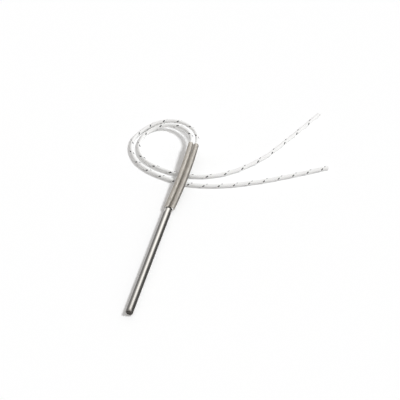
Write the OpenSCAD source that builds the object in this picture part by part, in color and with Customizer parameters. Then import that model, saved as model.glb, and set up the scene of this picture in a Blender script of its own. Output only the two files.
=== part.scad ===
// Cartridge heater: a round steel sheath with a wound element inside, closed at one end,
// and two braided leads that leave the other end through coil spring guards.
// The sheath lies along +Y with its closed end at the origin, and rests on z = -sheath_d / 2.

/* [Sheath] */
// Outside diameter of the sheath
sheath_d = 8; // [7.8:0.1:12]
// Length of the sheath
sheath_length = 150; // [110:1:250]
// Wall of the sheath
sheath_wall = 0.7; // [0.5:0.05:0.8]
// Edge break at both ends of the sheath
edge_break = 0.3; // [0.1:0.05:0.4]
// Radial gap between the pieces packed in the sheath
fit_gap = 0.05; // [0.03:0.01:0.08]

/* [Closed end] */
// Thickness of the end disc
end_disc_t = 2; // [1:0.1:5]
// Depth of the end disc below the rim
end_disc_recess = 0.2; // [0:0.05:1]
// Length of the insulator behind the end disc
end_insulator_length = 5; // [3:0.5:12]

/* [Heating element] */
// Diameter of the two power pins
pin_d = 1; // [0.8:0.05:1.1]
// Wall of the core outside its pin bores
core_wall = 0.45; // [0.3:0.05:0.55]
// Wire of the heating coil
coil_wire_d = 0.4; // [0.25:0.05:0.5]
// Pitch of the heating coil
coil_pitch = 1.5; // [1.1:0.1:4]
// Room between the coil and the core that it is wound on
coil_seat_gap = 0.03; // [0.02:0.01:0.06]
// Diameter of the coil's tails at the pins
coil_tail_d = 0.3; // [0.15:0.05:0.35]
// Room between a tail and its pin
tail_gap = 0.02; // [0.01:0.01:0.05]
// How far the short pin reaches into the core
short_pin_depth = 15; // [5:1:40]

/* [Connections] */
// Diameter of a crimp sleeve
crimp_d = 2.1; // [1.9:0.05:2.2]
// Length of a crimp sleeve
crimp_length = 12; // [8:0.5:20]
// Solid middle of a crimp sleeve
crimp_middle = 1; // [0.5:0.25:3]
// Distance between the two crimp sleeves
crimp_spacing = 0.5; // [0.4:0.05:0.6]
// Depth of the recesses that hold the ends of the coil
tail_recess = 1.2; // [1:0.1:2]
// Web of the connection block between the coil and the crimp sleeves
block_web = 1; // [0.6:0.1:3]
// Diameter of the stranded conductors
conductor_d = 1.3; // [1:0.05:1.4]
// Length over which the conductors spread apart
spread_length = 6; // [4:0.5:15]
// Room around the conductors where they spread
spread_gap = 0.15; // [0.1:0.05:0.25]

/* [Lead end] */
// Length of the ceramic bush
bush_length = 8; // [4:0.5:20]
// Wall of the bush outside its conductor bores
bush_wall = 0.4; // [0.3:0.05:0.6]
// Room around a conductor in the bush
bush_gap = 0.1; // [0.05:0.01:0.15]
// Thickness of the cement seal at the mouth
seal_t = 2.5; // [1:0.25:6]

/* [Leads and guards] */
// Diameter over the braid of a lead
lead_d = 4.4; // [3:0.1:4.6]
// Room between a lead and its guard
lead_gap = 0.15; // [0.1:0.05:0.4]
// Wire of the guards
guard_wire_d = 0.6; // [0.4:0.05:0.7]
// Gap between the turns of a guard
turn_gap = 0.1; // [0.06:0.02:0.9]
// Length of a guard
guard_length = 94; // [60:1:100]
// Distance between the two guards
guard_spacing = 0.2; // [0.15:0.05:1]
// Distance from the mouth of the sheath to the nearest turn of a guard
mouth_gap = 0.1; // [0.05:0.05:1]
// Heading of the guards where they leave the sheath
guard_heading = 6; // [0:0.5:10]
// Heading of the guards at their tips, where they lie level
tip_heading = -4; // [-10:0.5:0]
// Rise of the left guard where it leaves the sheath
left_rise = 8; // [7:0.5:10]
// Rise of the right guard where it leaves the sheath
right_rise = 7; // [6.5:0.5:10]

/* [Hidden] */
$fn = 64;

// Radii and places across the sheath
bore_r = sheath_d / 2 - sheath_wall;
packed_r = bore_r - fit_gap;
pin_x = (crimp_d + crimp_spacing) / 2;
pin_bore_d = pin_d + 2 * fit_gap;
core_r = pin_x + pin_bore_d / 2 + core_wall;
coil_r = core_r + coil_seat_gap + coil_wire_d / 2;
conductor_bore_d = conductor_d + 2 * bush_gap;
exit_x = packed_r - bush_wall - conductor_bore_d / 2;

// Places along the sheath, from the closed end
insulator_z = end_disc_recess + end_disc_t;
core_z = insulator_z + end_insulator_length;
seal_z = sheath_length - seal_t;
bush_z = seal_z - bush_length;
spread_z = bush_z - spread_length;
crimp_z = spread_z - crimp_length;
block_z = crimp_z - block_web - tail_recess;
core_length = block_z - core_z;
crimp_socket = (crimp_length - crimp_middle) / 2;

// The heating coil starts and ends just past the core, with an odd number of half turns
coil_overhang = coil_wire_d / 2 + fit_gap;
coil_length = core_length + 2 * coil_overhang;
coil_halves = 2 * floor(coil_length / coil_pitch) + 1;
coil_half_rise = coil_length / coil_halves;
coil_outer_r = norm([coil_r, coil_half_rise / 2]) + coil_wire_d / 2;

// Guards, and the surface that the heater lies on
guard_r = lead_d / 2 + lead_gap + guard_wire_d / 2;
guard_x = guard_r + guard_wire_d / 2 + guard_spacing / 2;
guard_tilt = acos(cos(guard_heading) * cos(max(left_rise, right_rise)));
guard_start = mouth_gap + guard_wire_d / 2 + guard_r * sin(guard_tilt);
guard_run = guard_start + guard_length;
guard_halves = 2 * round(guard_length / (guard_wire_d + turn_gap));
floor_z = -sheath_d / 2;
lying_z = floor_z + lead_d / 2;

// Routes of the leads past their guards. First in the air: right, forward and up from the guard's tip
left_fall = [
    [-2.8, 10.8, -0.6], [-10.5, 19.6, -1.5], [-23, 24.5, -2.9], [-37, 23.3, -4.9], [-49, 16, -7.2]
];
right_fall = [
    [-2.3, 12, -0.4], [-10.2, 23.3, -0.9], [-25, 30.7, -1.9], [-43, 30, -3.7], [-58.5, 20.5, -5.8]
];
// Then along the surface: right and forward from the mouth
left_route = [
    [-58, 98], [-58, 80], [-48, 65.5], [-31, 57.5], [-10, 54], [12, 55], [33, 61.5], [52, 73], [69, 89],
    [84, 108], [97, 131.5], [110, 156], [124, 184]
];
right_route = [
    [-66, 96], [-66, 78], [-56, 61.5], [-39, 50.5], [-17, 44.5], [7, 42], [31, 45.5], [56, 53.5],
    [80, 64.5], [104, 77.5], [128, 92], [153, 107.5]
];
lead_sides = 8;
guard_rings = 6;
span_rings = 2;

// Bent wire is joined from arcs: every second one is a hair thinner and laps into its neighbours
lap_angle = 4;
lap_step = 0.02;

// A guard bends in one leaning plane, from its heading and rise at the mouth to its heading at the tip
function guard_bend(rise) = norm([guard_heading - tip_heading, rise]);
function guard_lean(rise) = atan2(rise, guard_heading - tip_heading);

// Turn that a guard still has before it at a distance along it, and that place in its plane
function turn_left(s, bend) = bend * (1 - s / guard_run);
function bend_point(s, bend) =
    let (turn = bend * PI / 180 / guard_run)
    [cos(turn_left(s, bend)) - cos(bend), sin(bend) - sin(turn_left(s, bend))] / turn;

// The same place on the heater, for the guard at x with that rise at the mouth
function guard_point(s, x, rise) =
    let (p = bend_point(s, guard_bend(rise)))
    let (right = p[0] * cos(guard_lean(rise)))
    [
        x + right * cos(tip_heading) + p[1] * sin(tip_heading),
        sheath_length - right * sin(tip_heading) + p[1] * cos(tip_heading),
        p[0] * sin(guard_lean(rise))
    ];

// Smooth curve through four points, from the second to the third
function between(a, b, c, d, t) =
    b + t / 2 * (c - a + t * (2 * a - 5 * b + 4 * c - d + t * (3 * b - a - 3 * c + d)));

// A place on a centreline, lifted where the lead would sink into the surface
function lifted(p) = [p[0], p[1], max(p[2], lying_z)];

// Centreline of a lead: along its guard, down from the guard's tip, then along the surface
function lead_path(fall, route, x, rise) =
    let (inside = [for (i = [0 : guard_rings]) guard_point(i * guard_run / guard_rings, x, rise)])
    let (falling = [for (p = fall) inside[guard_rings] + p])
    let (lying = [for (p = route) [p[0], sheath_length + p[1], lying_z]])
    let (free = concat(falling, lying))
    let (past = 2 * free[len(free) - 1] - free[len(free) - 2])
    let (c = concat([inside[guard_rings - 1], inside[guard_rings]], free, [past]))
    concat(inside, [for (i = [1 : len(c) - 3], k = [1 : span_rings])
        lifted(between(c[i - 1], c[i], c[i + 1], c[i + 2], k / span_rings))]);

// Ring of points around a place on a centreline
function ring(p, along, r, sides) =
    let (across = cross(along, [0, 0, 1]) / norm(cross(along, [0, 0, 1])))
    let (up = cross(across, along) / norm(along))
    [for (k = [0 : sides - 1]) p + r * (cos(360 * k / sides) * across + sin(360 * k / sides) * up)];

// Plain tube along a centreline, its first end square to the mouth
module swept_tube(path, d, sides) {
    last = len(path) - 1;
    ahead = [for (i = [0 : last]) i == 0 ? [0, 1, 0] : path[min(i + 1, last)] - path[i - 1]];
    rings = [for (i = [0 : last]) each ring(path[i], ahead[i], d / 2, sides)];
    walls = [for (i = [0 : last - 1], k = [0 : sides - 1])
        let (a = i * sides + k, b = i * sides + (k + 1) % sides)
        each [[a, b, b + sides], [a, b + sides, a + sides]]];
    near_cap = [for (k = [sides - 1 : -1 : 0]) k];
    far_cap = [for (k = [0 : sides - 1]) last * sides + k];
    polyhedron(points = rings, faces = concat([near_cap], walls, [far_cap]));
}

// Round wire along an arc that starts at [r, 0] and turns towards +Y
module wire_arc(r, wire_d, angle) {
    rotate_extrude(angle = angle) translate([r, 0]) circle(d = wire_d);
}

// Round wire wound along +Z as half turns, each tilted so that its ends meet its neighbours square.
// The coil turns by bend over its length, in the XZ plane, about the places where half turns meet.
module coil(r, wire_d, halves, half_rise, heading = 0, bend = 0) {
    tilt = atan(half_rise / (2 * r));
    half_turn_r = norm([r, half_rise / 2]);
    // Each step holds the middle of a half turn and the direction of the axis there
    steps = [
        for (
            i = 0, a = heading, meet = r * [cos(a), -sin(a)];
            i < halves;
            side = i % 2 == 0 ? 1 : -1,
            meet = meet - 2 * side * r * [cos(a), -sin(a)] + half_rise * [sin(a), cos(a)],
            a = a + bend / halves,
            i = i + 1
        )
        let (out = i % 2 == 0 ? r : -r)
        [meet - out * [cos(a), -sin(a)] + half_rise / 2 * [sin(a), cos(a)], a]
    ];
    for (i = [0 : halves - 1])
        translate([steps[i][0][0], 0, steps[i][0][1]])
            rotate([0, steps[i][1], 0])
                rotate([0, 0, 180 * i])
                    rotate([0, tilt, 0])
                        if (i % 2 == 0)
                            wire_arc(half_turn_r, wire_d, 180);
                        else
                            rotate([0, 0, -lap_angle])
                                wire_arc(half_turn_r, wire_d - 2 * lap_step, 180 + 2 * lap_angle);
}

// Turns a piece that stands on the closed end so that it lies along the sheath
module lying() {
    rotate([-90, 0, 0]) children();
}

// Both places across the sheath at a distance from its middle
module pair(x) {
    for (side = [-1, 1])
        translate([side * x, 0, 0]) children();
}

// Cylinder that cuts a hair past both faces of a plate
module through(d, h) {
    translate([0, 0, -1]) cylinder(d = d, h = h + 2);
}

module sheath() {
    color([0.74, 0.74, 0.73]) lying()
        rotate_extrude()
            polygon([
                [bore_r, 0], [sheath_d / 2 - edge_break, 0], [sheath_d / 2, edge_break],
                [sheath_d / 2, sheath_length - edge_break],
                [sheath_d / 2 - edge_break, sheath_length], [bore_r, sheath_length]
            ]);
}

module end_disc() {
    color([0.42, 0.42, 0.42]) lying()
        translate([0, 0, end_disc_recess]) cylinder(r = packed_r, h = end_disc_t);
}

module end_insulator() {
    color([0.93, 0.92, 0.88]) lying()
        translate([0, 0, insulator_z]) difference() {
            cylinder(r = packed_r, h = end_insulator_length);
            translate([0, 0, end_insulator_length - tail_recess])
                cylinder(r = coil_outer_r + fit_gap, h = tail_recess + 1);
        }
}

module winding_core() {
    color([0.95, 0.94, 0.9]) lying()
        translate([0, 0, core_z]) difference() {
            cylinder(r = core_r, h = core_length);
            pair(pin_x) through(pin_bore_d, core_length);
        }
}

// Resistance wire, with a tail at each end that reaches the pin on its side
module heating_coil() {
    tail_length = coil_r - pin_x - pin_d / 2 - tail_gap;
    color([0.62, 0.55, 0.48]) lying()
        translate([0, 0, core_z - coil_overhang]) {
            coil(coil_r, coil_wire_d, coil_halves, coil_half_rise);
            for (end = [0, 1])
                translate([0, 0, end * coil_length])
                    rotate([0, 0, end * 180])
                        translate([coil_r, 0, 0])
                            rotate([0, -90, 0]) cylinder(d = coil_tail_d, h = tail_length);
        }
}

module pin(x, from) {
    lying() translate([x, 0, from]) cylinder(d = pin_d, h = crimp_z + crimp_socket - from);
}

module long_pin() {
    color([0.7, 0.68, 0.62]) pin(pin_x, core_z - tail_recess);
}

module short_pin() {
    color([0.7, 0.68, 0.62]) pin(-pin_x, core_z + core_length - short_pin_depth);
}

// Packed powder between the coil and the sheath
module powder_fill() {
    color([0.97, 0.96, 0.93]) lying()
        translate([0, 0, core_z]) difference() {
            cylinder(r = packed_r, h = core_length);
            through(2 * (coil_outer_r + fit_gap), core_length);
        }
}

// Ceramic block: recess for the coil's end, bores for pins and crimps, slot where conductors spread
module connection_block() {
    block_length = bush_z - block_z;
    slot_d = conductor_d + 2 * spread_gap;
    color([0.93, 0.92, 0.88]) lying()
        translate([0, 0, block_z]) difference() {
            cylinder(r = packed_r, h = block_length);
            translate([0, 0, -1]) cylinder(r = coil_outer_r + fit_gap, h = tail_recess + 1);
            pair(pin_x) through(pin_bore_d, tail_recess + block_web);
            translate([0, 0, tail_recess + block_web])
                pair(pin_x) cylinder(d = crimp_d + 2 * fit_gap, h = crimp_length);
            translate([0, 0, block_length - spread_length]) {
                pair(exit_x) cylinder(d = slot_d, h = spread_length + 1);
                translate([-exit_x, -slot_d / 2, 0]) cube([2 * exit_x, slot_d, spread_length + 1]);
            }
        }
}

// Sleeve with a socket for the pin and a wider one for the conductor
module crimp(x) {
    lying() translate([x, 0, crimp_z]) difference() {
        cylinder(d = crimp_d, h = crimp_length);
        translate([0, 0, -1]) cylinder(d = pin_bore_d, h = crimp_socket + 1);
        translate([0, 0, crimp_length - crimp_socket])
            cylinder(d = conductor_d + 2 * fit_gap, h = crimp_socket + 1);
    }
}

module left_crimp() {
    color([0.68, 0.66, 0.6]) crimp(-pin_x);
}

module right_crimp() {
    color([0.68, 0.66, 0.6]) crimp(pin_x);
}

// Conductor from its crimp, spread outwards by two arcs, straight through the bush to the mouth
module conductor(side) {
    turn = 2 * atan((exit_x - pin_x) / spread_length);
    turn_r = spread_length / (2 * sin(turn));
    lap = lap_angle / 2;
    lying() rotate([0, 0, side < 0 ? 180 : 0]) {
        translate([pin_x, 0, spread_z - crimp_socket]) cylinder(d = conductor_d, h = crimp_socket);
        translate([pin_x + turn_r, 0, spread_z])
            rotate([90, 0, 180]) rotate([0, 0, -lap])
                wire_arc(turn_r, conductor_d - 2 * lap_step, turn + lap);
        translate([exit_x - turn_r, 0, bush_z])
            rotate([-90, 0, 0]) rotate([0, 0, -lap])
                wire_arc(turn_r, conductor_d - 4 * lap_step, turn + 2 * lap);
        translate([exit_x, 0, bush_z]) cylinder(d = conductor_d, h = sheath_length - bush_z);
    }
}

module left_conductor() {
    color([0.7, 0.68, 0.62]) conductor(-1);
}

module right_conductor() {
    color([0.7, 0.68, 0.62]) conductor(1);
}

module lead_bush() {
    color([0.93, 0.92, 0.88]) lying()
        translate([0, 0, bush_z]) difference() {
            cylinder(r = packed_r, h = bush_length);
            pair(exit_x) through(conductor_bore_d, bush_length);
        }
}

module mouth_seal() {
    color([0.86, 0.84, 0.78]) lying()
        translate([0, 0, seal_z]) difference() {
            cylinder(r = packed_r, h = seal_t);
            pair(exit_x) through(conductor_d + 2 * fit_gap, seal_t);
        }
}

// Close-wound spring round a lead, bent with it
module guard(x, rise) {
    bend = guard_bend(rise);
    first = bend_point(guard_start, bend);
    first_turn = turn_left(guard_start, bend);
    translate([x, sheath_length, 0])
        rotate([0, -guard_lean(rise), -tip_heading])
            lying()
                translate([first[0], 0, first[1]])
                    coil(guard_r, guard_wire_d, guard_halves, guard_length / guard_halves,
                         first_turn, -first_turn);
}

module left_guard() {
    color([0.64, 0.62, 0.58]) guard(-guard_x, left_rise);
}

module right_guard() {
    color([0.64, 0.62, 0.58]) guard(guard_x, right_rise);
}

module left_lead() {
    path = lead_path(left_fall, left_route, -guard_x, left_rise);
    color([0.95, 0.95, 0.93]) swept_tube(path, lead_d, lead_sides);
}

module right_lead() {
    path = lead_path(right_fall, right_route, guard_x, right_rise);
    color([0.95, 0.95, 0.93]) swept_tube(path, lead_d, lead_sides);
}

sheath();
end_disc();
end_insulator();
winding_core();
heating_coil();
long_pin();
short_pin();
powder_fill();
connection_block();
left_crimp();
right_crimp();
left_conductor();
right_conductor();
lead_bush();
mouth_seal();
left_guard();
right_guard();
left_lead();
right_lead();
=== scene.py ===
import math

import bpy
import numpy as np
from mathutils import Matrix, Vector


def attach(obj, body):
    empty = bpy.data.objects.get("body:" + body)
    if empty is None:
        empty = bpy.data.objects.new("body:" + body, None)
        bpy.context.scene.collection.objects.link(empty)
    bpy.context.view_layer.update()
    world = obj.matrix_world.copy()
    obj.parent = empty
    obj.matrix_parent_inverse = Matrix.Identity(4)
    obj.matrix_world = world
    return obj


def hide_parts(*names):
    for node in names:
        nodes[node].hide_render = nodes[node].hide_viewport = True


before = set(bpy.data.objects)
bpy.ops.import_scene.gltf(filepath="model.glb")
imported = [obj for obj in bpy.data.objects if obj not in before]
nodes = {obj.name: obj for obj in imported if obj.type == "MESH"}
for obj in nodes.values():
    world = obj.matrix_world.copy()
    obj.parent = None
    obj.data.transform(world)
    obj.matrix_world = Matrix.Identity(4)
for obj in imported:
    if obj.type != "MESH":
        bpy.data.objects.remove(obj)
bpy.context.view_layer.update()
scene = bpy.context.scene
print("frame loaded,", len(nodes), "nodes")

mm = 0.001

# camera, at the height and turn of the photo
cameraLook = {
    "target": (0.02927, 0.17173, 0.0),
    "turn": 15.525,         # degrees to the right of the sheath
    "height": 48.5,         # degrees above the table
    "distance": 2.4509,
    "lens": 201.6,
    "sensor": 36.0,
    "clipEnd": 50.0,
}


def makeCamera(look):
    turn, height = math.radians(look["turn"]), math.radians(look["height"])
    level = math.cos(height)
    back = Vector((math.sin(turn) * level, -math.cos(turn) * level, math.sin(height)))
    data = bpy.data.cameras.new("camera")
    data.lens = look["lens"]
    data.sensor_width = look["sensor"]
    data.clip_end = look["clipEnd"]
    camera = bpy.data.objects.new("camera", data)
    camera.location = Vector(look["target"]) + back * look["distance"]
    camera.rotation_euler = (math.pi / 2 - height, 0.0, turn)
    scene.collection.objects.link(camera)
    scene.camera = camera


makeCamera(cameraLook)
print("camera set")


# mesh helpers
def makePiece(name, points, faces, smooth=True):
    mesh = bpy.data.meshes.new(name)
    mesh.from_pydata([tuple(p) for p in points], [], [tuple(f) for f in faces])
    mesh.update()
    if smooth:
        mesh.shade_smooth()
    piece = bpy.data.objects.new(name, mesh)
    scene.collection.objects.link(piece)
    return piece


def addMap(piece, name, corners):
    layer = piece.data.uv_layers.new(name=name)
    layer.data.foreach_set("uv", np.asarray(corners, dtype=np.float32).ravel())


def gridFaces(rows, columns):
    # each row is a ring, closed on itself
    i, j = np.meshgrid(np.arange(rows - 1), np.arange(columns), indexing="ij")
    k = (j + 1) % columns
    near, far = i * columns, (i + 1) * columns
    return np.stack([near + j, near + k, far + k, far + j], -1).reshape(-1, 4)


def tubeFaces(rows, columns):
    # rings with a cap on the first and on the last
    last = (rows - 1) * columns
    faces = [tuple(f) for f in gridFaces(rows, columns)]
    return faces + [tuple(range(columns - 1, -1, -1)), tuple(range(last, last + columns))]


def tubeMap(along, columns, way=1):
    # along the tube, then round it; the caps share one point
    i, j = np.meshgrid(np.arange(len(along) - 1), np.arange(columns), indexing="ij")
    near, far = along[i], along[i + 1]
    left, right = way * j / columns, way * (j + 1) / columns
    corners = np.stack([np.stack([near, left], -1), np.stack([near, right], -1),
                        np.stack([far, right], -1), np.stack([far, left], -1)], 2).reshape(-1, 2)
    return np.concatenate([corners, np.zeros((2 * columns, 2))])


def unit(v):
    return v / np.linalg.norm(v, axis=-1, keepdims=True)


# the guards and leads follow the same lines as the solids
guardLook = {
    "wire": 0.6 * mm,
    "turnGap": 0.1 * mm,
    "length": 94 * mm,
    "room": 0.15 * mm,      # between lead and guard
    "apart": 0.2 * mm,      # between the two guards
    "mouthGap": 0.1 * mm,
    "heading": 6.0,         # degrees to the right at the mouth
    "tipHeading": -4.0,     # at the tips, where the guards lie level
    "rise": {"left": 8.0, "right": 7.0},    # degrees upwards at the mouth
    "stepsPerTurn": 36,
    "sides": 10,
    "slack": [(0.02 * mm, 4.3), (0.008 * mm, 2.7)],   # how far turns shift along, and over how many turns
    "slackFade": 0.3,       # power that brings the slack in from both ends
}
leadLook = {
    "diameter": 4.4 * mm,
    "mouth": 150 * mm,      # where the sheath ends
    "lyingZ": -1.8 * mm,    # middle of a lead on the table
    # mm from the guard's tip, on the way down
    "fall": {
        "left": [(-2.8, 10.8, -0.6), (-10.5, 19.6, -1.5), (-23, 24.5, -2.9), (-37, 23.3, -4.9),
                 (-49, 16, -7.2)],
        "right": [(-2.3, 12, -0.4), (-10.2, 23.3, -0.9), (-25, 30.7, -1.9), (-43, 30, -3.7),
                  (-58.5, 20.5, -5.8)],
    },
    # mm across and past the mouth, on the table
    "route": {
        "left": [(-58, 98), (-58, 80), (-48, 65.5), (-31, 57.5), (-10, 54), (12, 55), (33, 61.5),
                 (52, 73), (69, 89), (84, 108), (97, 131.5), (110, 156), (124, 184)],
        "right": [(-66, 96), (-66, 78), (-56, 61.5), (-39, 50.5), (-17, 44.5), (7, 42), (31, 45.5),
                  (56, 53.5), (80, 64.5), (104, 77.5), (128, 92), (153, 107.5)],
    },
    "leadIn": 5 / 6,        # place along the guard that sets the way out of its tip
    "guardSteps": 120,
    "spanSteps": 40,
    "smoothings": 3,
    "step": 0.36 * mm,      # from ring to ring
    "sides": 48,
    "strands": 8,           # each way round
    "strandPitch": {"left": 20.4 * mm, "right": 16.75 * mm},    # one turn of a strand
    "phase": {"left": -0.11, "right": -0.225},                  # in turns, sets where the tracer shows
    "relief": 0.15 * mm,
    "dip": 0.35,            # height at the ends of a float, as a share of its middle
    "lip": [(0.0, 1.86), (-0.5, 1.84), (-1.0, 1.8)],    # mm along and out, where the cut braid turns in
    "lipTurn": 0.005,       # turns of braid to each ring of the lip, on the map
    "pathEvery": 4,         # rings from point to point of the cord's path
}

guardRadius = leadLook["diameter"] / 2 + guardLook["room"] + guardLook["wire"] / 2
guardX = guardRadius + guardLook["wire"] / 2 + guardLook["apart"] / 2
steepest = max(guardLook["rise"].values())
guardTilt = math.acos(math.cos(math.radians(guardLook["heading"])) * math.cos(math.radians(steepest)))
guardStart = guardLook["mouthGap"] + guardLook["wire"] / 2 + guardRadius * math.sin(guardTilt)
guardRun = guardStart + guardLook["length"]
sideOf = {"left": -1, "right": 1}


def guardPlane(side):
    # a guard bends in one leaning plane, from its rise at the mouth to level at its tip
    rise, swing = guardLook["rise"][side], guardLook["heading"] - guardLook["tipHeading"]
    bend, lean = math.radians(math.hypot(rise, swing)), math.atan2(rise, swing)
    tip = math.radians(guardLook["tipHeading"])
    right = np.array([math.cos(tip), -math.sin(tip), 0.0])
    ahead = np.array([math.sin(tip), math.cos(tip), 0.0])
    up = np.array([0.0, 0.0, 1.0])
    outside = math.cos(lean) * right + math.sin(lean) * up
    return bend, outside, ahead, math.cos(lean) * up - math.sin(lean) * right


def guardLine(s, side):
    # middle of a guard at the distance s from the mouth
    bend, outside, ahead, _ = guardPlane(side)
    turnLeft = bend * (1 - s / guardRun)
    aside = (np.cos(turnLeft) - math.cos(bend)) * guardRun / bend
    along = (math.sin(bend) - np.sin(turnLeft)) * guardRun / bend
    mouth = np.array([sideOf[side] * guardX, leadLook["mouth"], 0.0])
    return mouth + aside[:, None] * outside + along[:, None] * ahead


def between(a, b, c, d, t):
    # smooth span from b to c
    return b + t / 2 * (c - a + t * (2 * a - 5 * b + 4 * c - d + t * (3 * b - a - 3 * c + d)))


def spacedOut(line, step):
    run = np.concatenate([[0], np.cumsum(np.linalg.norm(np.diff(line, axis=0), axis=1))])
    count = int(round(run[-1] / step)) + 1
    at = np.linspace(0, run[-1], count)
    return np.stack([np.interp(at, run, line[:, k]) for k in range(3)], -1), at


def leadLine(side):
    inside = guardLine(np.linspace(0, guardRun, leadLook["guardSteps"] + 1), side)
    tip, beforeTip = inside[-1], guardLine(np.array([guardRun * leadLook["leadIn"]]), side)[0]
    falling = [tip + np.array(p) * mm for p in leadLook["fall"][side]]
    lying = [np.array([p[0] * mm, leadLook["mouth"] + p[1] * mm, leadLook["lyingZ"]])
             for p in leadLook["route"][side]]
    free = falling + lying
    knots = [beforeTip, tip] + free + [2 * free[-1] - free[-2]]
    t = np.linspace(0, 1, leadLook["spanSteps"] + 1)[1:, None]
    spans = [between(*knots[i - 1:i + 3], t) for i in range(1, len(knots) - 2)]
    line = np.concatenate([inside] + spans)
    line[:, 2] = np.maximum(line[:, 2], leadLook["lyingZ"])
    line, _ = spacedOut(line, leadLook["step"])
    for _ in range(leadLook["smoothings"]):     # takes the corners out of the joints between spans
        line[1:-1] = (line[:-2] + 2 * line[1:-1] + line[2:]) / 4
    return spacedOut(line, leadLook["step"])


def framesAlong(line):
    # ahead, level across and up, at each place on a lead
    ahead = unit(np.gradient(line, axis=0))
    across = unit(np.cross(ahead, np.array([0.0, 0.0, 1.0])))
    return ahead, across, np.cross(across, ahead)


def braidHeight(laid, turn):
    # two over, two under, as the carriers of a braider lay it
    a = leadLook["strands"] * (turn - laid)
    b = leadLook["strands"] * (turn + laid)
    i, j = np.floor(a), np.floor(b)
    beat = np.mod(i + j, 4)
    onTop = beat < 2
    acrossStrand = np.where(onTop, a - i, b - j)
    alongFloat = np.where(onTop, (beat + b - j) / 2, (beat - 2 + a - i) / 2)
    crown = 1 - (2 * acrossStrand - 1) ** 2
    dip = leadLook["dip"]
    return crown * (dip + (1 - dip) * np.sin(np.pi * np.clip(alongFloat, 0, 1)))


def makeLead(side):
    line, run = leadLine(side)
    ahead, across, up = framesAlong(line)
    count, lip = leadLook["sides"], leadLook["lip"]
    way = -1        # this way round the faces point outwards
    turn = way * np.arange(count) / count
    laid = run / leadLook["strandPitch"][side] + leadLook["phase"][side]
    height = braidHeight(laid[:, None], turn[None, :])
    radius = leadLook["diameter"] / 2 - leadLook["relief"] * (1 - height)
    angle = 2 * np.pi * turn[None, :, None]
    ring = np.cos(angle) * across[:, None, :] + np.sin(angle) * up[:, None, :]
    points = [(line[:, None, :] + radius[:, :, None] * ring).reshape(-1, 3)]
    # the cut end: the braid turns in to a lip, with the inside closed a little way back
    for back, out in lip:
        points.append(line[-1] + ahead[-1] * back * mm + out * mm * ring[-1])
    laid = np.concatenate([laid, laid[-1] + leadLook["lipTurn"] * np.arange(1, len(lip) + 1)])
    lead = makePiece(side + "Lead", np.concatenate(points), tubeFaces(len(laid), count))
    addMap(lead, "braidMap", tubeMap(laid, count, way))
    tape, strands = makeCutEnd(side, line[-1], (ahead[-1], across[-1], up[-1]))
    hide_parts(side + "_lead")
    for piece, slot in ((lead, "glass_braid"), (tape, "glass_braid"), (strands, "nickel")):
        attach(piece, "root")
    print(side, "lead laid,", round(float(run[-1]) / mm), "mm")
    return lead, tape, strands


# what shows in the cut end of a lead: the strands in their tape
cutLook = {
    "length": 4 * mm,       # back into the lead
    "tape": {"radius": 1.78 * mm, "depth": 0.7 * mm, "sides": 32, "dome": 0.1 * mm},
    "strand": {"radius": 0.135 * mm, "past": 0.05 * mm, "sides": 10, "dome": 0.03 * mm},
    "spacing": 2.02,        # strand to strand, in radii
    "layers": 3,
    "perLayer": 6,          # more strands in each layer than in the one inside it
}


def addRod(points, faces, middle, axes, radius, ends, sides, dome, domeTop=0.8):
    # round rod with a small dome on its far end, added to the lists
    ahead, across, up = axes
    base = len(points)
    angles = 2 * np.pi * np.arange(sides) / sides
    ring = np.cos(angles)[:, None] * up + np.sin(angles)[:, None] * across
    rows = ((ends[0], radius), (ends[1] - dome, radius), (ends[1], radius * domeTop))
    for back, out in rows:
        points.extend(middle + ahead * back + ring * out)
    faces.extend(tuple(base + k for k in f) for f in tubeFaces(len(rows), sides))


def makeCutEnd(side, tip, axes):
    tapeLook, strandLook = cutLook["tape"], cutLook["strand"]
    back = -cutLook["length"]
    points, faces = [], []
    addRod(points, faces, tip, axes, tapeLook["radius"], (back, -tapeLook["depth"]),
           tapeLook["sides"], tapeLook["dome"])
    tape = makePiece(side + "LeadTape", points, faces)
    points, faces = [], []
    _, across, up = axes
    for layer in range(cutLook["layers"]):
        count = max(1, cutLook["perLayer"] * layer)
        out = cutLook["spacing"] * strandLook["radius"] * layer
        for k in range(count):
            angle = 2 * math.pi * k / count
            middle = tip + out * (math.cos(angle) * across + math.sin(angle) * up)
            addRod(points, faces, middle, axes, strandLook["radius"], (back, strandLook["past"]),
                   strandLook["sides"], strandLook["dome"])
    return tape, makePiece(side + "LeadStrands", points, faces)


def sweepWire(line, outward, radius, count):
    # closed round wire along a wound line, with the way out from the winding's axis at each place
    beside = unit(np.cross(unit(np.gradient(line, axis=0)), outward))
    around = 2 * np.pi * np.arange(count)[None, :, None] / count
    ring = np.cos(around) * outward[:, None, :] + np.sin(around) * beside[:, None, :]
    return (line[:, None, :] + radius * ring).reshape(-1, 3), tubeFaces(len(line), count)


def makeGuard(side):
    turns = round(guardLook["length"] / (guardLook["wire"] + guardLook["turnGap"]))
    part = np.linspace(0, 1, turns * guardLook["stepsPerTurn"] + 1)
    s = guardStart + guardLook["length"] * part
    fade = np.sin(np.pi * part) ** guardLook["slackFade"]
    for shift, every in guardLook["slack"]:     # a bent guard opens and closes a little from turn to turn
        s += shift * np.sin(2 * np.pi * part * turns / every) * fade
    bend, outside, ahead, up = guardPlane(side)
    turnLeft = bend * (1 - s / guardRun)
    across = np.cos(turnLeft)[:, None] * outside - np.sin(turnLeft)[:, None] * ahead
    angle = 2 * np.pi * turns * part
    outward = np.cos(angle)[:, None] * across - np.sin(angle)[:, None] * up
    line = guardLine(s, side) + guardRadius * outward
    guard = makePiece(side + "Guard", *sweepWire(line, outward, guardLook["wire"] / 2, guardLook["sides"]))
    addMap(guard, "wireMap", tubeMap(part * turns, guardLook["sides"]))
    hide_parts(side + "_guard")
    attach(guard, "root")
    print(side, "guard wound,", turns, "turns")
    return guard


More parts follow.
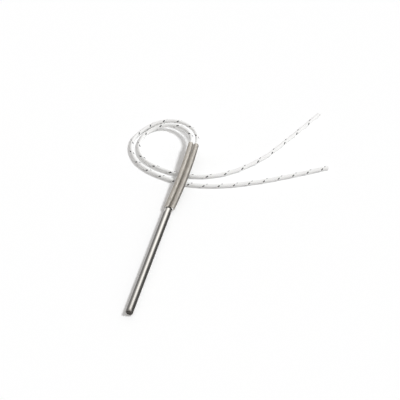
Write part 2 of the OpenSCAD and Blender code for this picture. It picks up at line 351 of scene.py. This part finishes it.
leads = {side: makeLead(side) for side in sideOf}
guards = {side: makeGuard(side) for side in sideOf}


# the element inside: wound wire with a tail to a pin at each end
coilLook = {
    "radius": 2.53 * mm, "wire": 0.4 * mm, "from": 6.95 * mm, "to": 119.55 * mm, "halfTurns": 151,
    "stepsPerHalf": 16, "sides": 10,
    "tail": 0.3 * mm, "tailTo": 1.82 * mm, "tailSides": 12, "tailDome": 0.03 * mm,
    "tailFrom": 0.9,        # inside the wire, in its radii
}


def makeHeatingCoil(look):
    part = np.linspace(0, 1, look["halfTurns"] * look["stepsPerHalf"] + 1)
    angle = np.pi * look["halfTurns"] * part
    outward = np.stack([np.cos(angle), np.zeros(len(angle)), -np.sin(angle)], -1)
    line = look["radius"] * outward
    line[:, 1] = look["from"] + (look["to"] - look["from"]) * part
    points, faces = sweepWire(line, outward, look["wire"] / 2, look["sides"])
    points = list(points)
    along = np.array([0.0, 1.0, 0.0])
    ends = (look["tailFrom"] * look["wire"] / 2, look["radius"] - look["tailTo"])
    for start, way in ((line[0], -1.0), (line[-1], 1.0)):
        inward = np.array([way, 0.0, 0.0])
        axes = (inward, along, np.cross(along, inward))
        addRod(points, faces, start, axes, look["tail"] / 2, ends, look["tailSides"], look["tailDome"])
    coil = makePiece("heatingCoil", points, faces)
    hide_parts("heating_coil")
    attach(coil, "root")
    return coil


heatingCoil = makeHeatingCoil(coilLook)
print("element wound,", coilLook["halfTurns"], "half turns")


# sheath and closed end
sheathLook = {
    "radius": 4.0 * mm, "bore": 3.3 * mm, "length": 150 * mm, "edge": 0.3 * mm,
    "edgeSteps": 5, "rings": 60, "boreRings": 8, "sides": 128,
}


def latheAlong(name, profile, sides, hollow=True):
    # profile of (radius, place along the sheath), turned about the sheath's axis
    angles = 2 * np.pi * np.arange(sides) / sides
    points = []
    for r, y in profile:
        points.extend(np.stack([r * np.sin(angles), np.full(sides, y), r * np.cos(angles)], -1))
    if hollow:
        last = (len(profile) - 1) * sides
        faces = [tuple(f) for f in gridFaces(len(profile), sides)]
        faces += [(last + k, last + (k + 1) % sides, (k + 1) % sides, k) for k in range(sides)]
    else:
        faces = tubeFaces(len(profile), sides)
    return makePiece(name, points, faces)


def makeSheath(look):
    r, edge, bore, length = look["radius"], look["edge"], look["bore"], look["length"]
    bend = np.linspace(0, math.pi / 2, look["edgeSteps"])
    profile = [(bore, 0.0)]
    profile += [(r - edge + edge * math.sin(t), edge - edge * math.cos(t)) for t in bend]
    profile += [(r, y) for y in np.linspace(edge, length - edge, look["rings"])[1:-1]]
    profile += [(r - edge + edge * math.cos(t), length - edge + edge * math.sin(t)) for t in bend]
    profile += [(bore, length)]
    profile += [(bore, y) for y in np.linspace(length, 0, look["boreRings"])[1:-1]]
    sheath = latheAlong("sheathTube", profile, look["sides"])
    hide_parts("sheath")
    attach(sheath, "root")
    return sheath


sheath = makeSheath(sheathLook)
print("sheath turned")

discLook = {
    "radius": 3.25 * mm, "face": 0.2 * mm, "back": 2.2 * mm, "sides": 96,
    "rings": (0.9 * mm, 1.4 * mm, 1.9 * mm, 2.4 * mm),      # rows across the flat face
    # turning mark in the middle: a shallow cone with an eased rim
    "mark": 0.45 * mm, "markDepth": 0.22 * mm, "markPoint": 0.02 * mm,
    "rimDepth": 0.02 * mm, "rimWidth": 0.06 * mm,
}


def makeEndDisc(look):
    radius, face, mark = look["radius"], look["face"], look["mark"]
    profile = [(look["markPoint"], face + look["markDepth"]), (mark, face + look["rimDepth"])]
    profile += [(r, face) for r in (mark + look["rimWidth"], *look["rings"], radius)]
    profile += [(radius, look["back"])]
    disc = latheAlong("endDisc", profile, look["sides"], hollow=False)
    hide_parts("end_disc")
    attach(disc, "root")
    return disc


weldLook = {
    "radius": 0.27 * mm, "inset": 0.02 * mm, "behind": 0.08 * mm, "flatness": 0.8, "sides": 12,
    "ripples": 58, "rippleSteps": 8, "rippleDepth": 0.05 * mm,
}


def makeEndWeld(look, disc):
    # bead between disc and sheath, laid in overlapping ripples
    sides, steps = look["sides"], look["rippleSteps"]
    rows = look["ripples"] * steps
    middle = disc["radius"] - look["inset"]
    points, faces = [], []
    for i in range(rows):
        turn = 2 * math.pi * i / rows
        bead = look["radius"] - look["rippleDepth"] * (i % steps) / steps
        for k in range(sides):
            around = 2 * math.pi * k / sides
            r = middle + bead * math.cos(around)
            y = disc["face"] + look["behind"] + look["flatness"] * bead * math.sin(around)
            points.append((r * math.sin(turn), y, r * math.cos(turn)))
            n, m = (i + 1) % rows, (k + 1) % sides
            faces.append((i * sides + k, n * sides + k, n * sides + m, i * sides + m))
    weld = makePiece("endWeld", points, faces)
    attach(weld, "root")
    return weld


endDisc = makeEndDisc(discLook)
endWeld = makeEndWeld(weldLook, discLook)
print("closed end welded")


# materials
colourSockets = {"before": 6, "after": 7, "mixed": 2}      # of a Mix node set to colours


def newFinish(name):
    finish = bpy.data.materials.new(name)
    finish.use_nodes = True
    tree = finish.node_tree
    return finish, tree, tree.nodes["Principled BSDF"]


def addNode(tree, kind, **settings):
    node = tree.nodes.new(kind)
    for key, value in settings.items():
        setattr(node, key, value)
    return node


def mathNode(tree, operation, *values):
    node = addNode(tree, "ShaderNodeMath", operation=operation)
    for socket, value in zip(node.inputs, values):
        if isinstance(value, (int, float)):
            socket.default_value = value
        else:
            tree.links.new(value, socket)
    return node.outputs[0]


def weighed(tree, a, b, share):
    parts = [mathNode(tree, "MULTIPLY", value, weight) for value, weight in ((a, share), (b, 1 - share))]
    return mathNode(tree, "ADD", *parts)


def rampNode(tree, factor, stops):
    node = addNode(tree, "ShaderNodeValToRGB")
    ramp = node.color_ramp
    while len(ramp.elements) < len(stops):
        ramp.elements.new(0.5)
    for element, (place, colour) in zip(ramp.elements, stops):
        element.position = place
        element.color = (*colour, 1.0)
    tree.links.new(factor, node.inputs["Fac"])
    return node.outputs["Color"]


def twoTone(tree, pattern, look):
    return rampNode(tree, pattern, list(zip(look["over"], (look["dark"], look["light"]))))


def mixColours(tree, factor, before, after):
    node = addNode(tree, "ShaderNodeMix", data_type="RGBA")
    tree.links.new(factor, node.inputs["Factor"])
    for name, colour in (("before", before), ("after", after)):
        socket = node.inputs[colourSockets[name]]
        if isinstance(colour, tuple):
            socket.default_value = (*colour, 1.0)
        else:
            tree.links.new(colour, socket)
    return node.outputs[colourSockets["mixed"]]


def placeSplit(tree):
    place = addNode(tree, "ShaderNodeTexCoord")
    split = addNode(tree, "ShaderNodeSeparateXYZ")
    tree.links.new(place.outputs["Object"], split.inputs["Vector"])
    return split.outputs


def noiseNode(tree, scale, stretch=(1, 1, 1), detail=4.0, roughness=0.6, uvMap=None):
    if uvMap:
        place = addNode(tree, "ShaderNodeUVMap", uv_map=uvMap).outputs["UV"]
    else:
        place = addNode(tree, "ShaderNodeTexCoord").outputs["Object"]
    mapping = addNode(tree, "ShaderNodeMapping")
    mapping.inputs["Scale"].default_value = stretch
    tree.links.new(place, mapping.inputs["Vector"])
    noise = addNode(tree, "ShaderNodeTexNoise")
    noise.inputs["Scale"].default_value = scale
    noise.inputs["Detail"].default_value = detail
    noise.inputs["Roughness"].default_value = roughness
    tree.links.new(mapping.outputs["Vector"], noise.inputs["Vector"])
    return noise.outputs["Fac"]


def spread(tree, value, low, high):
    node = addNode(tree, "ShaderNodeMapRange")
    node.inputs["To Min"].default_value = low
    node.inputs["To Max"].default_value = high
    tree.links.new(value, node.inputs["Value"])
    return node.outputs["Result"]


def bumpNode(tree, bsdf, height, strength, distance):
    node = addNode(tree, "ShaderNodeBump")
    node.inputs["Strength"].default_value = strength
    node.inputs["Distance"].default_value = distance
    tree.links.new(height, node.inputs["Height"])
    tree.links.new(node.outputs["Normal"], bsdf.inputs["Normal"])


def dress(tree, bsdf, colour, pattern, look, metallic=1.0):
    # colour on, and roughness by the look's pattern
    tree.links.new(colour, bsdf.inputs["Base Color"])
    tree.links.new(spread(tree, pattern, *look["rough"]), bsdf.inputs["Roughness"])
    bsdf.inputs["Metallic"].default_value = metallic


polishedLook = {
    "dark": (0.57, 0.548, 0.515), "light": (0.67, 0.648, 0.61), "over": (0.3, 0.7), "rough": (0.14, 0.22),
    "rings": {"scale": 1.0, "stretch": (300, 16000, 300), "detail": 3.0, "roughness": 0.55},
    "clouds": {"scale": 90.0, "stretch": (1, 0.35, 1), "detail": 5.0},
    "ringShare": 0.45, "bump": (0.05, 0.01 * mm),
    "tint": (0.29, 0.272, 0.25), "tintFrom": 0.25 * mm, "tintTo": 1.3 * mm,     # heat of the end weld
    "rim": (0.04, 0.037, 0.032), "rimFrom": 147.8 * mm, "rimTo": 148.5 * mm,    # painted dark reflection round the mouth
    "ragged": 0.5 * mm,     # how far the edges of both wander
}


def bandMix(tree, along, start, end, before, after):
    # runs from one colour to the next between two places along the sheath
    band = addNode(tree, "ShaderNodeMapRange", interpolation_type="SMOOTHSTEP")
    band.inputs["From Min"].default_value = start
    band.inputs["From Max"].default_value = end
    tree.links.new(along, band.inputs["Value"])
    return mixColours(tree, band.outputs["Result"], before, after)


def polishedFinish(look):
    # centreless grinding leaves fine rings round the tube, handling leaves faint cloudy marks
    finish, tree, bsdf = newFinish("polishedSteel")
    rings, clouds = noiseNode(tree, **look["rings"]), noiseNode(tree, **look["clouds"])
    both = weighed(tree, rings, clouds, look["ringShare"])
    stray = mathNode(tree, "MULTIPLY", mathNode(tree, "SUBTRACT", clouds, 0.5), look["ragged"])
    along = mathNode(tree, "SUBTRACT", placeSplit(tree)["Y"], stray)
    heated = bandMix(tree, along, look["tintFrom"], look["tintTo"], look["tint"], twoTone(tree, both, look))
    # painted reflection: a dark band round the mouth stands in for the dark surroundings mirrored in the
    # rounded edge
    rimmed = bandMix(tree, along, look["rimFrom"], look["rimTo"], heated, look["rim"])
    dress(tree, bsdf, rimmed, both, look)
    bumpNode(tree, bsdf, rings, *look["bump"])
    return finish


darkLook = {
    "dark": (0.056, 0.052, 0.048), "light": (0.15, 0.14, 0.13), "over": (0.3, 0.75), "rough": (0.38, 0.6),
    "scale": {"scale": 900.0, "detail": 6.0, "roughness": 0.65},
    "ringPitch": 0.16 * mm, "ringHeight": 0.3, "bump": (0.35, 0.02 * mm),
}


def darkFinish(look):
    # turned face under a thin heat scale
    finish, tree, bsdf = newFinish("scaledSteel")
    scale = noiseNode(tree, **look["scale"])
    place = placeSplit(tree)
    squares = [mathNode(tree, "POWER", place[axis], 2.0) for axis in ("X", "Z")]
    out = mathNode(tree, "SQRT", mathNode(tree, "ADD", *squares))
    rings = mathNode(tree, "SINE", mathNode(tree, "MULTIPLY", out, 2 * math.pi / look["ringPitch"]))
    dress(tree, bsdf, twoTone(tree, scale, look), scale, look)
    height = mathNode(tree, "ADD", mathNode(tree, "MULTIPLY", rings, look["ringHeight"]), scale)
    bumpNode(tree, bsdf, height, *look["bump"])
    return finish


springLook = {
    "dark": (0.485, 0.458, 0.418), "light": (0.66, 0.628, 0.58), "over": (0.32, 0.62), "rough": (0.45, 0.62),
    "drawn": {"scale": 1.0, "stretch": (0.9, 26.0, 1.0), "roughness": 0.5, "uvMap": "wireMap"},
    "clouds": {"scale": 140.0},
    "drawnShare": 0.5, "bump": (0.12, 0.02 * mm),
}


def springFinish(look):
    # drawn wire: faint lines along it, the warm tint of stress relief, duller from turn to turn
    finish, tree, bsdf = newFinish("springSteel")
    drawn, clouds = noiseNode(tree, **look["drawn"]), noiseNode(tree, **look["clouds"])
    both = weighed(tree, drawn, clouds, look["drawnShare"])
    dress(tree, bsdf, twoTone(tree, both, look), both, look)
    bumpNode(tree, bsdf, drawn, *look["bump"])
    return finish


braidLook = {
    "yarn": (0.95, 0.947, 0.935), "shade": (0.90, 0.897, 0.885), "grooveShade": (0.78, 0.775, 0.76),
    "stops": (0.0, 0.55, 0.8, 1.0),     # yarn, yarn, painted shade and painted groove shade, from a strand's middle to its edge
    "tracer": (0.018, 0.018, 0.02), "tracerEdge": 0.92,
    "fuzz": {"scale": 2600.0, "detail": 3.0}, "fuzzEdge": 0.5,
    "rough": (0.55, 0.85), "sheen": 0.12, "sheenRough": 0.4,
    "filaments": 7.0, "filamentHeight": 0.25, "bump": (0.3, 0.03 * mm),
}


def braidFinish(look):
    # glass yarn, two over two under, with one dark tracer yarn, and painted shade at the strands' edges
    finish, tree, bsdf = newFinish("glassBraid")
    strands = leadLook["strands"]
    uv = addNode(tree, "ShaderNodeUVMap", uv_map="braidMap")
    split = addNode(tree, "ShaderNodeSeparateXYZ")
    tree.links.new(uv.outputs["UV"], split.inputs["Vector"])
    run, turn = split.outputs["X"], split.outputs["Y"]
    a = mathNode(tree, "MULTIPLY", mathNode(tree, "SUBTRACT", turn, run), strands)
    b = mathNode(tree, "MULTIPLY", mathNode(tree, "ADD", turn, run), strands)
    i, j = mathNode(tree, "FLOOR", a), mathNode(tree, "FLOOR", b)
    beat = mathNode(tree, "FLOORED_MODULO", mathNode(tree, "ADD", i, j), 4.0)
    onTop = mathNode(tree, "LESS_THAN", beat, 1.5)
    under = mathNode(tree, "SUBTRACT", 1.0, onTop)
    partA, partB = mathNode(tree, "SUBTRACT", a, i), mathNode(tree, "SUBTRACT", b, j)
    acrossStrand = mathNode(tree, "ADD", mathNode(tree, "MULTIPLY", partA, onTop),
                            mathNode(tree, "MULTIPLY", partB, under))
    fromMiddle = mathNode(tree, "SUBTRACT", mathNode(tree, "MULTIPLY", acrossStrand, 2.0), 1.0)
    fuzz = noiseNode(tree, **look["fuzz"])
    stray = mathNode(tree, "MULTIPLY", mathNode(tree, "SUBTRACT", fuzz, 0.5), look["fuzzEdge"])
    fuzzyFromMiddle = mathNode(tree, "ADD", mathNode(tree, "ABSOLUTE", fromMiddle), stray)
    # painted shade: the yarn darkens towards each strand's edge and into the grooves, where the strands
    # shade one another
    tones = (look["yarn"], look["yarn"], look["shade"], look["grooveShade"])
    yarn = rampNode(tree, fuzzyFromMiddle, list(zip(look["stops"], tones)))
    which = mathNode(tree, "FLOORED_MODULO", i, float(strands))
    tracer = mathNode(tree, "MULTIPLY", mathNode(tree, "LESS_THAN", which, 0.5), onTop)
    kept = mathNode(tree, "LESS_THAN", fuzzyFromMiddle, look["tracerEdge"])
    marked = mixColours(tree, mathNode(tree, "MULTIPLY", tracer, kept), yarn, look["tracer"])
    dress(tree, bsdf, marked, fuzz, look, metallic=0.0)
    bsdf.inputs["Sheen Weight"].default_value = look["sheen"]
    bsdf.inputs["Sheen Roughness"].default_value = look["sheenRough"]
    lines = mathNode(tree, "SINE", mathNode(tree, "MULTIPLY", acrossStrand, 2 * math.pi * look["filaments"]))
    height = mathNode(tree, "ADD", mathNode(tree, "MULTIPLY", lines, look["filamentHeight"]), fuzz)
    bumpNode(tree, bsdf, height, *look["bump"])
    return finish


# ceramics and the tape differ in colour and in the size of their grain
mineralLook = {
    "all": {"over": (0.3, 0.7), "detail": 6.0, "roughness": 0.65, "bump": (0.5, 0.05 * mm)},
    "ceramic": {
        "dark": (0.80, 0.785, 0.74), "light": (0.92, 0.91, 0.87), "rough": (0.45, 0.65), "grain": 1500.0,
    },
    "magnesia": {
        "dark": (0.88, 0.865, 0.83), "light": (0.96, 0.95, 0.92), "rough": (0.8, 0.95), "grain": 3500.0,
    },
    "cement": {
        "dark": (0.62, 0.60, 0.54), "light": (0.86, 0.84, 0.78), "rough": (0.75, 0.95), "grain": 1800.0,
    },
    "glassTape": {
        "dark": (0.70, 0.69, 0.65), "light": (0.88, 0.87, 0.84), "rough": (0.6, 0.85), "grain": 4200.0,
    },
}


def mineralFinish(name):
    look = {**mineralLook["all"], **mineralLook[name]}
    finish, tree, bsdf = newFinish(name)
    grain = noiseNode(tree, look["grain"], detail=look["detail"], roughness=look["roughness"])
    dress(tree, bsdf, twoTone(tree, grain, look), grain, look, metallic=0.0)
    bumpNode(tree, bsdf, grain, *look["bump"])
    return finish


wireLook = {
    "all": {"over": (0.3, 0.7), "drawn": {"scale": 700.0, "stretch": (6, 0.4, 6)}, "bump": (0.2, 0.02 * mm)},
    "nickel": {"dark": (0.52, 0.49, 0.43), "light": (0.70, 0.67, 0.60), "rough": (0.25, 0.45)},
    "resistanceWire": {"dark": (0.30, 0.26, 0.22), "light": (0.52, 0.47, 0.42), "rough": (0.3, 0.55)},
}


def wireFinish(name):
    look = {**wireLook["all"], **wireLook[name]}
    finish, tree, bsdf = newFinish(name)
    drawn = noiseNode(tree, **look["drawn"])
    dress(tree, bsdf, twoTone(tree, drawn, look), drawn, look)
    bumpNode(tree, bsdf, drawn, *look["bump"])
    return finish


def wear(piece, finish):
    slots = piece.data.materials
    if len(slots):
        for k in range(len(slots)):
            slots[k] = finish
    else:
        slots.append(finish)


finishes = {
    "polished": polishedFinish(polishedLook),
    "dark": darkFinish(darkLook),
    "spring": springFinish(springLook),
    "braid": braidFinish(braidLook),
}
finishes.update({name: wireFinish(name) for name in ("nickel", "resistanceWire")})
finishes.update({name: mineralFinish(name) for name in ("ceramic", "magnesia", "cement", "glassTape")})
wear(heatingCoil, finishes["resistanceWire"])
wear(sheath, finishes["polished"])
wear(endDisc, finishes["dark"])
wear(endWeld, finishes["dark"])
for side in sideOf:
    for piece, kind in zip(leads[side], ("braid", "glassTape", "nickel")):
        wear(piece, finishes[kind])
    wear(guards[side], finishes["spring"])
insideFinish = {
    "ceramic": ("end_insulator", "winding_core", "connection_block", "lead_bush"),
    "magnesia": ("powder_fill",),
    "cement": ("mouth_seal",),
    "nickel": ("long_pin", "short_pin", "left_crimp", "right_crimp", "left_conductor", "right_conductor"),
}
for kind, names in insideFinish.items():
    for name in names:
        wear(nodes[name], finishes[kind])
print("finishes on")


# table and light
stageLook = {
    "floor": {"z": -4.0 * mm, "size": 12.0, "colour": (0.98, 0.98, 0.98), "lift": 0.08},
    "world": {"shown": 0.95, "light": 0.46, "colour": (1.0, 0.978, 0.96)},
    "key": {"from": (9.6, 4.5, 13.0), "strength": 2.0, "softness": 11.0, "colour": (0.963, 0.983, 1.0)},
    # graded wall that only reflections see: (degrees round from the sheath's line, tone)
    "wall": {
        "radius": 1.0, "middleY": 0.15, "low": 1.0 * mm, "top": 1.5, "steps": 81,
        "tones": [(-120, 0.3), (-52, 0.3), (-46, 0.42), (-40, 0.8), (-30, 1.25), (-15, 1.7), (0, 1.95),
                  (12, 1.85), (25, 1.45), (35, 0.88), (43, 0.34), (49, 0.08), (120, 0.06)],
    },
    # low cards beside the heater, so that the pale table doesn't fill its flanks: ends in mm
    "flagLow": 0.05 * mm,
    "flags": [
        {"name": "rightFlag", "from": (5.6, -12), "to": (5.6, 146), "height": 6.5 * mm, "tone": 0.115},
        {"name": "leftFlag", "from": (-5.6, -12), "to": (-5.6, 146), "height": 7.4 * mm, "tone": 0.22},
        {"name": "guardFlag", "from": (10.5, 150), "to": (19, 246), "height": 15 * mm, "tone": 0.16},
    ],
}
floorZ = stageLook["floor"]["z"]


def shownRays(tree):
    # camera, glossy and transmission rays
    path = addNode(tree, "ShaderNodeLightPath")
    some = mathNode(tree, "MAXIMUM", path.outputs["Is Camera Ray"], path.outputs["Is Glossy Ray"])
    return mathNode(tree, "MAXIMUM", some, path.outputs["Is Transmission Ray"])


def makeFloor(look):
    half = look["size"] / 2
    corners = [(x * half, y * half, floorZ) for x, y in ((-1, -1), (1, -1), (1, 1), (-1, 1))]
    floor = makePiece("floor", corners, [(0, 1, 2, 3)], smooth=False)
    finish, tree, bsdf = newFinish("paleTable")
    bsdf.inputs["Base Color"].default_value = (*look["colour"], 1.0)
    bsdf.inputs["Roughness"].default_value = 1.0
    bsdf.inputs["Specular IOR Level"].default_value = 0.0
    bsdf.inputs["Emission Color"].default_value = (1.0, 1.0, 1.0, 1.0)
    lift = mathNode(tree, "MULTIPLY", shownRays(tree), look["lift"])
    tree.links.new(lift, bsdf.inputs["Emission Strength"])
    wear(floor, finish)


def makeWorld(look):
    world = bpy.data.worlds.new("studio")
    world.use_nodes = True
    scene.world = world
    tree = world.node_tree
    back = tree.nodes["Background"]
    back.inputs["Color"].default_value = (*look["colour"], 1.0)
    shown = mathNode(tree, "MULTIPLY", shownRays(tree), look["shown"] - look["light"])
    tree.links.new(mathNode(tree, "ADD", shown, look["light"]), back.inputs["Strength"])


def makeKey(look):
    data = bpy.data.lights.new("keyLamp", "SUN")
    data.energy = look["strength"]
    data.color = look["colour"]
    data.angle = math.radians(look["softness"])
    lamp = bpy.data.objects.new("keyLamp", data)
    lamp.rotation_euler = Vector(look["from"]).to_track_quat("Z", "Y").to_euler()
    scene.collection.objects.link(lamp)


def makeCard(name, points, tones):
    # studio card that only shows in reflections: points go low, high, low, high along it
    faces = [(k, k + 1, k + 3, k + 2) for k in range(0, len(points) - 2, 2)]
    card = makePiece(name, points, faces)
    layer = card.data.attributes.new("tone", "FLOAT", "POINT")
    layer.data.foreach_set("value", np.repeat(np.asarray(tones, dtype=np.float32), 2))
    finish, tree, bsdf = newFinish(name + "Paper")
    bsdf.inputs["Base Color"].default_value = (0.0, 0.0, 0.0, 1.0)
    bsdf.inputs["Specular IOR Level"].default_value = 0.0
    bsdf.inputs["Emission Color"].default_value = (1.0, 1.0, 1.0, 1.0)
    tone = addNode(tree, "ShaderNodeAttribute", attribute_name="tone")
    tree.links.new(tone.outputs["Fac"], bsdf.inputs["Emission Strength"])
    wear(card, finish)
    card.visible_camera = False
    card.visible_diffuse = False
    card.visible_shadow = False


def makeWall(look):
    places, tones = zip(*look["tones"])
    turn = np.linspace(places[0], places[-1], look["steps"])
    points = [(look["radius"] * math.sin(t), look["middleY"] + look["radius"] * math.cos(t), z)
              for t in np.radians(turn) for z in (floorZ + look["low"], look["top"])]
    makeCard("reflectedWall", points, np.interp(turn, places, tones))


def makeFlag(look):
    points = [(x * mm, y * mm, floorZ + z)
              for x, y in (look["from"], look["to"]) for z in (stageLook["flagLow"], look["height"])]
    makeCard(look["name"], points, (look["tone"], look["tone"]))


makeFloor(stageLook["floor"])
makeWorld(stageLook["world"])
makeKey(stageLook["key"])
makeWall(stageLook["wall"])
for flag in stageLook["flags"]:
    makeFlag(flag)
scene.view_settings.view_transform = "Standard"
print("table and light set")
